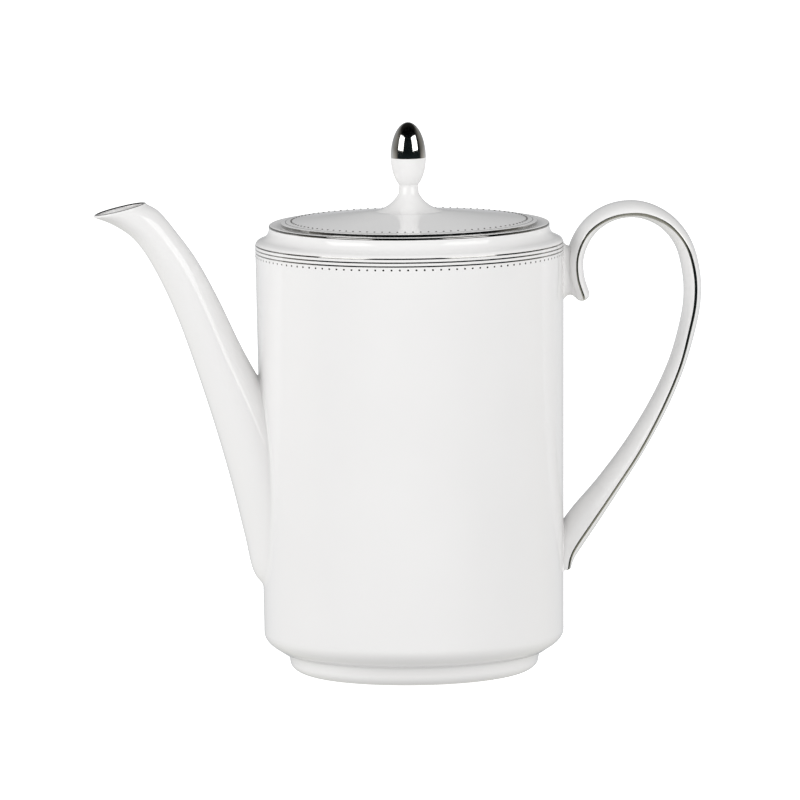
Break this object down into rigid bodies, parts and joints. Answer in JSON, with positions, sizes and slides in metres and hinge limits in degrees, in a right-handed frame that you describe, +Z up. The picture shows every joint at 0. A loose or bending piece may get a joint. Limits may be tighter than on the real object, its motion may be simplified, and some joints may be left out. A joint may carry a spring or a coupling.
{
  "type": "coffee pot",
  "caption": "Tall straight-sided white china coffee pot with a swan spout, a strap handle, a lift-off lid with an egg-shaped finial, and platinum lines and dots.",
  "frame": {"origin": "on the table plane, under the centre of the bounding box of the whole pot; the axis of the barrel stands 4.45 mm towards +X from it", "axes": "+Z up along the axis of the barrel, +X from the pot towards the handle, -X towards the spout, and the XZ plane is the mirror plane of the spout and the handle"},
  "size_m": [0.2251, 0.1142, 0.2042],
  "materials": {
    "white_glaze": "clear glossy glaze over warm white bone china",
    "platinum": "fired platinum lustre, mirror bright"
  },
  "bodies": {
    "pot": {"barrel_base": "white_glaze", "barrel_side": "white_glaze", "barrel_shoulder": "white_glaze", "foot_ring": "white_glaze", "spout": "white_glaze", "handle": "white_glaze", "rim_band": "platinum", "body_line_upper": "platinum", "body_line_middle": "platinum", "body_line_lower": "platinum", "body_dots": "platinum", "spout_lip_band": "platinum", "handle_line_near": "platinum", "handle_line_far": "platinum"},
    "lid": {"lid_disc": "white_glaze", "lid_flange": "white_glaze", "finial_stem": "white_glaze", "finial_cap": "platinum", "lid_edge_band": "platinum", "lid_line": "platinum", "lid_dots": "platinum"}
  },
  "joints": [
    {"name": "lid_lift", "type": "slide", "parent": "pot", "child": "lid", "axis": [0, 0, 1], "range_m": [0, 0.06]}
  ]
}
